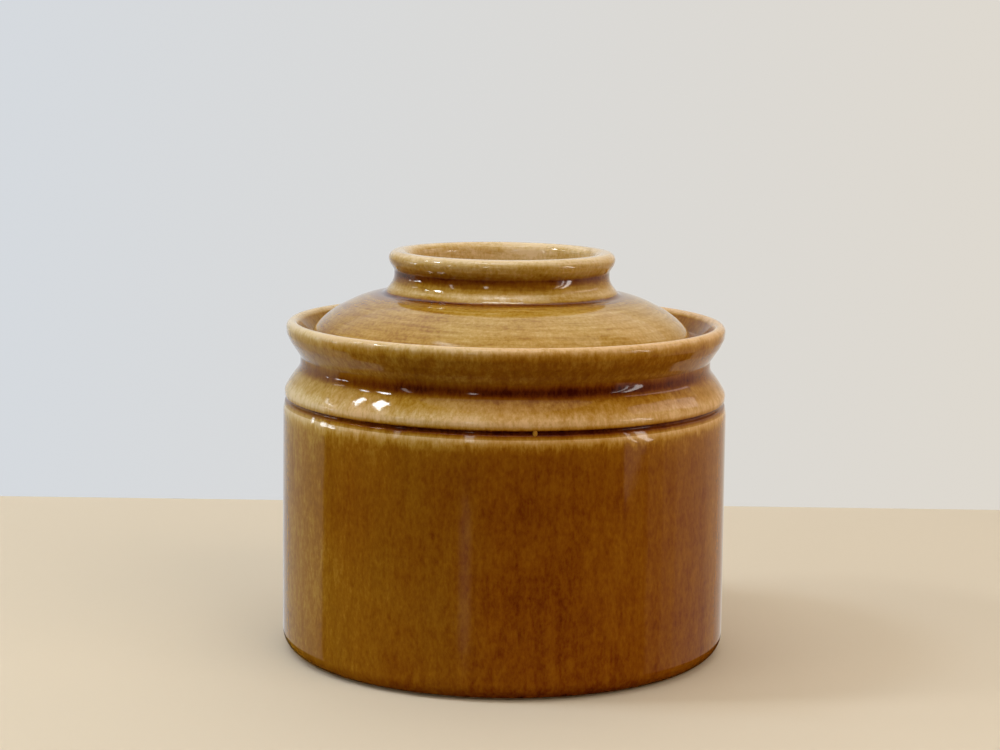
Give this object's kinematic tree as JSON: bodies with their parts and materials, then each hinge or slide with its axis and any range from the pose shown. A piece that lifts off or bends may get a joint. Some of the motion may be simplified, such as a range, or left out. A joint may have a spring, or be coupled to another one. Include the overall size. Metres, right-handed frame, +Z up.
{
  "type": "salt jar",
  "caption": "Squat glazed stoneware salt jar with a flared lip, an incised line under its banded shoulder, and a loose domed lid with a ring knob.",
  "frame": {"origin": "centre of the pot's flat underside, on the surface it stands on", "axes": "+Z up the turning axis of the pot, towards the lid; -Y towards the side that shows the glaze bridge over the incised line; the lid lies 1.5 mm off centre towards -X"},
  "size_m": [0.14, 0.14, 0.1255],
  "materials": {
    "glaze": "glossy translucent amber-brown glaze on stoneware, darker in hollows, thin and khaki to tan on edges; bare buff clay under the foot"
  },
  "bodies": {
    "root": {"pot": "glaze", "lid": "glaze"}
  },
  "joints": []
}
